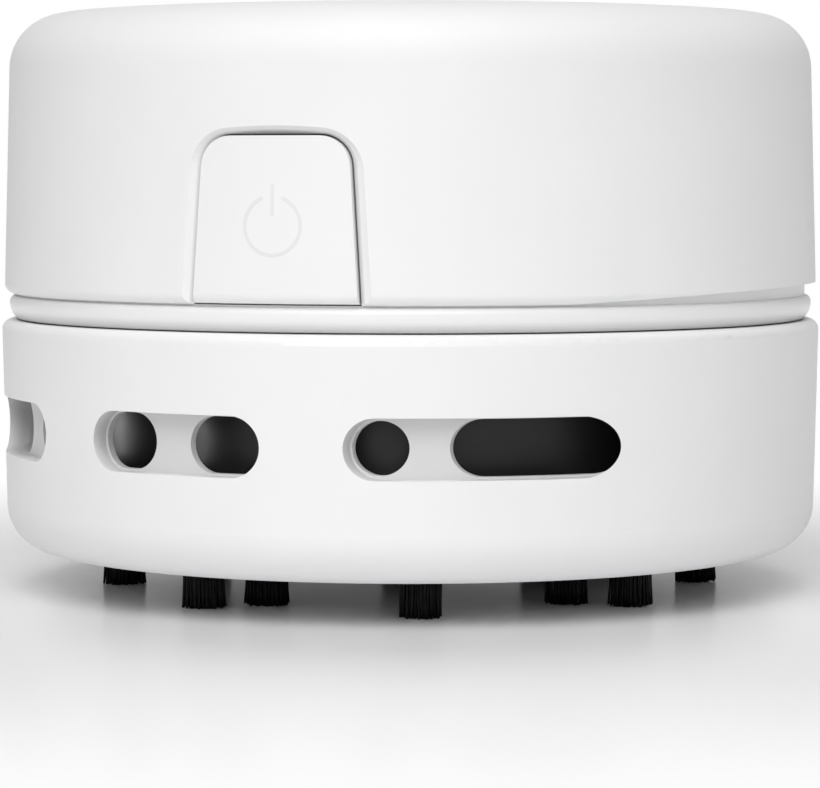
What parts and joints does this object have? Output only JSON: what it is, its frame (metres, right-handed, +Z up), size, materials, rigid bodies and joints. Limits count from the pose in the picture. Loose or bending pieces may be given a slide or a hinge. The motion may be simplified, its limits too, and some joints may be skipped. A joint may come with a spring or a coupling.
{
  "type": "desktop vacuum cleaner",
  "caption": "Small round battery-powered desk vacuum: brush tufts and suction inlet below, dust cup behind outlet slots, twist-off upper half with power button.",
  "frame": {"origin": "on the surface that the brush tips stand on, under the middle of the body", "axes": "+Z up through the middle of the round body; the power button faces -Y"},
  "size_m": [0.085, 0.085, 0.0593],
  "materials": {
    "white_plastic": "fine matte moulding",
    "black_gloss": "glossy",
    "black_plastic": "satin",
    "grey_plastic": "satin",
    "bristle_nylon": "nylon strands",
    "filter_felt": "fine felt",
    "seal_rubber": "matt",
    "steel": "satin",
    "brass": "satin",
    "cell_jacket": "satin",
    "spring_metal": "nickel plated",
    "red_insulation": "satin",
    "black_insulation": "satin"
  },
  "bodies": {
    "base": {"lower_housing": "white_plastic", "dust_cup": "black_gloss", "inlet_nozzle": "black_plastic", "outer_tuft_1": "bristle_nylon", "outer_tuft_2": "bristle_nylon", "outer_tuft_3": "bristle_nylon", "outer_tuft_4": "bristle_nylon", "outer_tuft_5": "bristle_nylon", "outer_tuft_6": "bristle_nylon", "outer_tuft_7": "bristle_nylon", "outer_tuft_8": "bristle_nylon", "inner_tuft_1": "bristle_nylon", "inner_tuft_2": "bristle_nylon", "inner_tuft_3": "bristle_nylon", "inner_tuft_4": "bristle_nylon", "filter_basket": "black_plastic", "filter_pad": "filter_felt"},
    "upper": {"cup_seal": "seal_rubber", "chassis": "white_plastic", "fan_lid": "grey_plastic", "motor_bush": "brass", "motor_can": "steel", "motor_end_cap": "black_plastic", "motor_terminals": "brass", "motor_screws": "steel", "battery_tray": "grey_plastic", "tray_screws": "steel", "battery_cell_1": "cell_jacket", "battery_cell_2": "cell_jacket", "contact_bridge": "spring_metal", "contact_plus": "spring_metal", "contact_minus": "spring_metal", "contact_spring_1": "spring_metal", "contact_spring_2": "spring_metal", "switch_body": "black_plastic", "switch_terminals": "brass", "lead_battery": "red_insulation", "lead_switch": "red_insulation", "lead_motor": "black_insulation"},
    "rotor": {"motor_shaft": "steel", "fan_impeller": "black_plastic"},
    "plunger": {"switch_plunger": "white_plastic"},
    "cover": {"top_housing": "white_plastic"},
    "button": {"power_button": "white_plastic"}
  },
  "joints": [
    {"name": "twist_lock", "type": "hinge", "parent": "base", "child": "upper", "pos_m": [0, 0, 0.0279], "axis": [0, 0, 1], "range_deg": [0, 22]},
    {"name": "fan_spin", "type": "hinge", "parent": "upper", "child": "rotor", "pos_m": [0, 0, 0.0345], "axis": [0, 0, 1], "continuous": true},
    {"name": "cover_lift", "type": "slide", "parent": "upper", "child": "cover", "axis": [0, 0, 1], "range_m": [0, 0.012]},
    {"name": "button_press", "type": "slide", "parent": "cover", "child": "button", "axis": [0, 1, 0], "range_m": [0, 0.001], "stiffness_N_per_m": 600},
    {"name": "plunger_slide", "type": "slide", "parent": "upper", "child": "plunger", "axis": [0, 1, 0], "range_m": [0, 0.001], "stiffness_N_per_m": 200}
  ],
  "couplings": [
    {"joint": "plunger_slide", "follows": "button_press", "ratio": 1}
  ]
}
